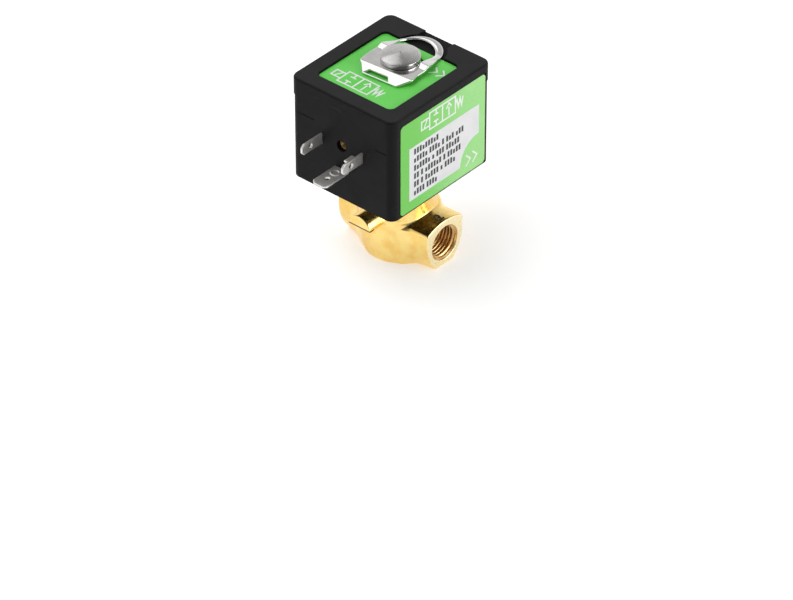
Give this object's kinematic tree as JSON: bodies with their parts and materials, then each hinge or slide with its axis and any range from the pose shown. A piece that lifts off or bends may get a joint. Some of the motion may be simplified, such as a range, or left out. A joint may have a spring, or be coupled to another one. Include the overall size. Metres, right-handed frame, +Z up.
{
  "type": "solenoid valve",
  "caption": "Direct-acting solenoid valve: a forged brass body with threaded ports under a square moulded coil that a sliding spring clip holds on its core tube.",
  "frame": {"origin": "on the axis of the core tube, at the flat underside of the brass body", "axes": "+X through the ports towards the outlet, -Y towards the plug terminals, +Z up along the core tube"},
  "size_m": [0.0456, 0.0628, 0.0782],
  "materials": {
    "brass": "bright forging",
    "stainless": "turned",
    "plated_steel": "zinc plated",
    "spring_steel": "spring temper",
    "clip_steel": "polished",
    "soft_iron": "plain",
    "copper": "enamelled copper",
    "tinned_brass": "tinned",
    "insert_brass": "turned",
    "black_moulding": "satin",
    "bobbin_plastic": "moulded",
    "winding_tape": "film",
    "black_rubber": "moulded",
    "green_film": "printed film",
    "label_film": "printed film"
  },
  "bodies": {
    "valve": {"valve_body": "brass", "core_tube": "stainless", "base_nut": "plated_steel", "body_o_ring": "black_rubber", "spring_washer": "spring_steel", "fixed_core": "stainless", "shading_ring": "copper"},
    "plunger": {"core": "stainless", "core_disc": "black_rubber", "core_spring": "spring_steel"},
    "coil": {"coil_housing": "black_moulding", "bobbin": "bobbin_plastic", "winding": "copper", "winding_tape": "winding_tape", "yoke": "soft_iron", "lower_sleeve": "soft_iron", "upper_sleeve": "soft_iron", "power_terminal_left": "tinned_brass", "power_terminal_right": "tinned_brass", "ground_terminal": "tinned_brass", "screw_insert": "insert_brass", "winding_leads": "copper", "top_label": "green_film", "side_label": "label_film"},
    "clip": {"retaining_clip": "clip_steel"}
  },
  "joints": [
    {"name": "core_lift", "type": "slide", "parent": "valve", "child": "plunger", "axis": [0, 0, 1], "range_m": [0, 0.0016], "stiffness_N_per_m": 400, "springref_m": -0.008, "deforming": ["core_spring"]},
    {"name": "coil_turn", "type": "hinge", "parent": "valve", "child": "coil", "pos_m": [0, 0, 0.0343], "axis": [0, 0, 1], "continuous": true},
    {"name": "clip_slide", "type": "slide", "parent": "coil", "child": "clip", "axis": [0.0785, -0.9969, 0], "range_m": [0, 0.0076]}
  ]
}
